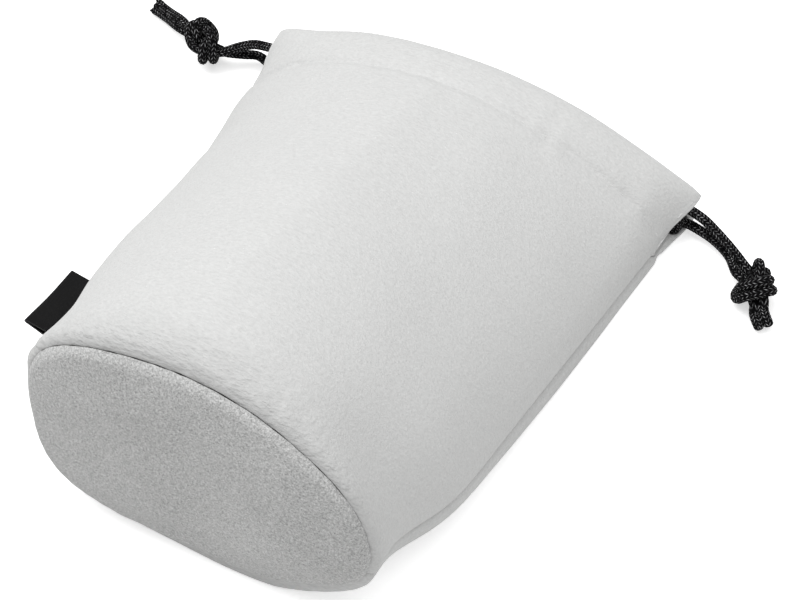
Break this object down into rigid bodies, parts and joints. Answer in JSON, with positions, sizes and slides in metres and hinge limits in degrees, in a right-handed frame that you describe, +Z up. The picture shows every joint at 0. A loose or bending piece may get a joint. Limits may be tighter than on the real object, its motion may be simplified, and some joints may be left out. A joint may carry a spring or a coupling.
{
  "type": "binocular_case",
  "caption": "Soft pale grey suede drawstring pouch for compact binoculars, lying filled out on its back, with an oval base, a folded hem, knotted black drawcords and a bare side label.",
  "frame": {"origin": "On the surface that the pouch lies on, in the pouch's middle plane, halfway along its cloth body.", "axes": "+X is the pouch's right side as seen from its front with the mouth up, +Y runs from the base to the mouth, +Z is up from the surface and out of the front wall."},
  "size_m": [0.1975, 0.1465, 0.0703],
  "materials": {
    "suede_wall": "brushed suede nap",
    "suede_base": "coarser suede nap",
    "sewing_thread": "matte thread",
    "drawcord": "braided cord",
    "label_cloth": "woven ribbon"
  },
  "bodies": {
    "bag": {"back_panel": "suede_wall", "base_panel": "suede_base", "base_seam_thread": "sewing_thread", "left_side_seam_thread": "sewing_thread", "right_side_seam_thread": "sewing_thread", "back_hem_stitch": "sewing_thread", "back_left_end_stitch": "sewing_thread", "back_right_end_stitch": "sewing_thread", "left_cord_back_run": "drawcord", "right_cord_back_run": "drawcord", "left_cord_crossing": "drawcord", "right_cord_crossing": "drawcord", "left_cord_front_strand": "drawcord", "left_cord_back_strand": "drawcord", "right_cord_front_strand": "drawcord", "right_cord_back_strand": "drawcord"},
    "front_wall": {"front_panel": "suede_wall", "front_hem_stitch": "sewing_thread", "front_left_end_stitch": "sewing_thread", "front_right_end_stitch": "sewing_thread", "left_cord_front_run": "drawcord", "right_cord_front_run": "drawcord"},
    "left_pull": {"left_knot": "drawcord", "left_cord_front_tail": "drawcord", "left_cord_back_tail": "drawcord"},
    "right_pull": {"right_knot": "drawcord", "right_cord_front_tail": "drawcord", "right_cord_back_tail": "drawcord"},
    "label": {"label_tab": "label_cloth"}
  },
  "joints": [
    {"name": "mouth_open", "type": "hinge", "parent": "bag", "child": "front_wall", "pos_m": [0, -0.05935, 0.0662], "axis": [1, 0, 0], "range_deg": [0, 6], "deforming": ["left_cord_crossing", "right_cord_crossing", "left_cord_front_strand", "right_cord_front_strand"]},
    {"name": "left_draw", "type": "slide", "parent": "bag", "child": "left_pull", "axis": [-1, 0, 0], "range_m": [0, 0.03], "deforming": ["left_cord_front_strand", "left_cord_back_strand"]},
    {"name": "right_draw", "type": "slide", "parent": "bag", "child": "right_pull", "axis": [1, 0, 0], "range_m": [0, 0.03], "deforming": ["right_cord_front_strand", "right_cord_back_strand"]},
    {"name": "label_fold", "type": "hinge", "parent": "bag", "child": "label", "pos_m": [-0.05038, -0.03233, 0.01777], "axis": [-0.0738, 0.9545, -0.2889], "range_deg": [-45, 12]}
  ]
}
